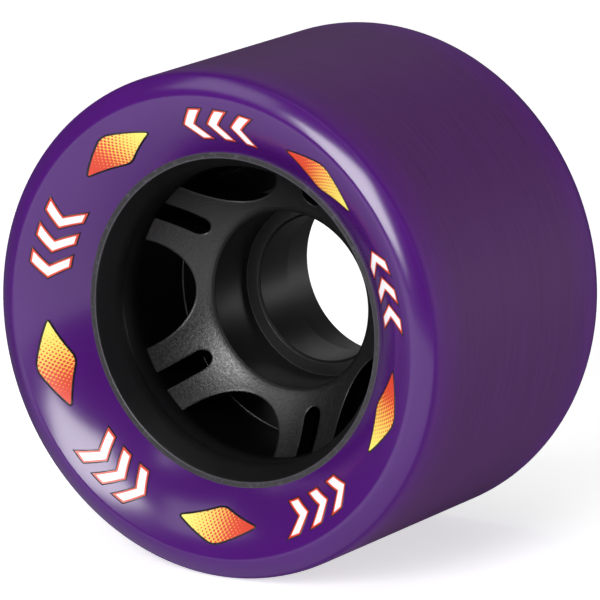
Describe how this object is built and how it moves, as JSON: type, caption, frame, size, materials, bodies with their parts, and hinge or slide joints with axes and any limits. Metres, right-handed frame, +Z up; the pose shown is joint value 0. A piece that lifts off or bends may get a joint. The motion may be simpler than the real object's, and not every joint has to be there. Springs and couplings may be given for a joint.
{
  "type": "roller skate wheel",
  "caption": "Quad roller skate wheel: a urethane tyre bonded on a dished, spoked nylon hub with a bearing seat at each end of its centre tube.",
  "frame": {"origin": "centre of the wheel, on the axle line, midway between the two lips of the tyre", "axes": "+Y along the axle from the dished front to the back of the wheel, +Z up, +X to the right seen from the front"},
  "size_m": [0.062, 0.041, 0.062],
  "materials": {
    "urethane": "glossy moulded side faces, ground matte tread",
    "nylon": "fine moulded texture, satin"
  },
  "bodies": {
    "root": {"tyre": "urethane", "hub": "nylon"}
  },
  "joints": []
}
